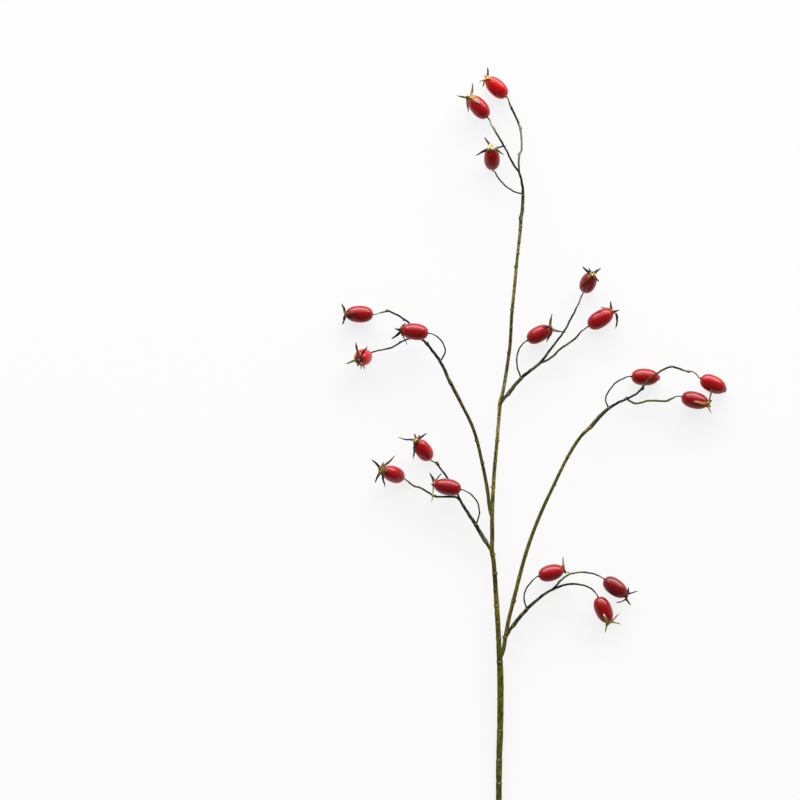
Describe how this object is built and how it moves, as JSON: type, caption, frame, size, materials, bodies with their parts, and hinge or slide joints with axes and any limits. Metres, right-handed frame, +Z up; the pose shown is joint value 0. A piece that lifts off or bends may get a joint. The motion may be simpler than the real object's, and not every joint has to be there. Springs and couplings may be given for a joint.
{
  "type": "rose hip sprig",
  "caption": "Long forked stem lying down, with sprays of red oval rose hips on thin curved stalks, each hip ending in a small star of dry sepals.",
  "frame": {"origin": "under the middle of the whole sprig's box, on the surface that it lies on", "axes": "+Y up the stem from its cut end to the top spray, +X to the stem's right, +Z up from the surface"},
  "size_m": [0.3088, 0.636, 0.027],
  "materials": {
    "stem": "satin olive-green bark with brown patches and paler ring joints",
    "stalk": "dark grey-green bark, nearly black in places, greener near the forks",
    "hip": "smooth satin-gloss deep red skin with fine pale specks",
    "calyx": "dry matt gold-olive sepals that turn dark brown at their tips"
  },
  "bodies": {
    "root": {"main_stem": "stem", "right_arm": "stem", "left_arm": "stem", "top_spray_stalk": "stalk", "top_pedicel_2": "stalk", "top_pedicel_3": "stalk", "top_hip_1": "hip", "top_hip_2": "hip", "top_hip_3": "hip", "top_calyx_1": "calyx", "top_calyx_2": "calyx", "top_calyx_3": "calyx", "upper_right_spray_stalk": "stalk", "upper_right_pedicel_2": "stalk", "upper_right_pedicel_3": "stalk", "upper_right_hip_1": "hip", "upper_right_hip_2": "hip", "upper_right_hip_3": "hip", "upper_right_calyx_1": "calyx", "upper_right_calyx_2": "calyx", "upper_right_calyx_3": "calyx", "right_arm_spray_stalk": "stalk", "right_arm_pedicel_2": "stalk", "right_arm_pedicel_3": "stalk", "right_arm_hip_1": "hip", "right_arm_hip_2": "hip", "right_arm_hip_3": "hip", "right_arm_calyx_1": "calyx", "right_arm_calyx_2": "calyx", "right_arm_calyx_3": "calyx", "lower_right_spray_stalk": "stalk", "lower_right_pedicel_2": "stalk", "lower_right_pedicel_3": "stalk", "lower_right_hip_1": "hip", "lower_right_hip_2": "hip", "lower_right_hip_3": "hip", "lower_right_calyx_1": "calyx", "lower_right_calyx_2": "calyx", "lower_right_calyx_3": "calyx", "lower_left_spray_stalk": "stalk", "lower_left_pedicel_2": "stalk", "lower_left_pedicel_3": "stalk", "lower_left_hip_1": "hip", "lower_left_hip_2": "hip", "lower_left_hip_3": "hip", "lower_left_calyx_1": "calyx", "lower_left_calyx_2": "calyx", "lower_left_calyx_3": "calyx", "left_arm_spray_stalk": "stalk", "left_arm_pedicel_2": "stalk", "left_arm_pedicel_3": "stalk", "left_arm_hip_1": "hip", "left_arm_hip_2": "hip", "left_arm_hip_3": "hip", "left_arm_calyx_1": "calyx", "left_arm_calyx_2": "calyx", "left_arm_calyx_3": "calyx"}
  },
  "joints": []
}
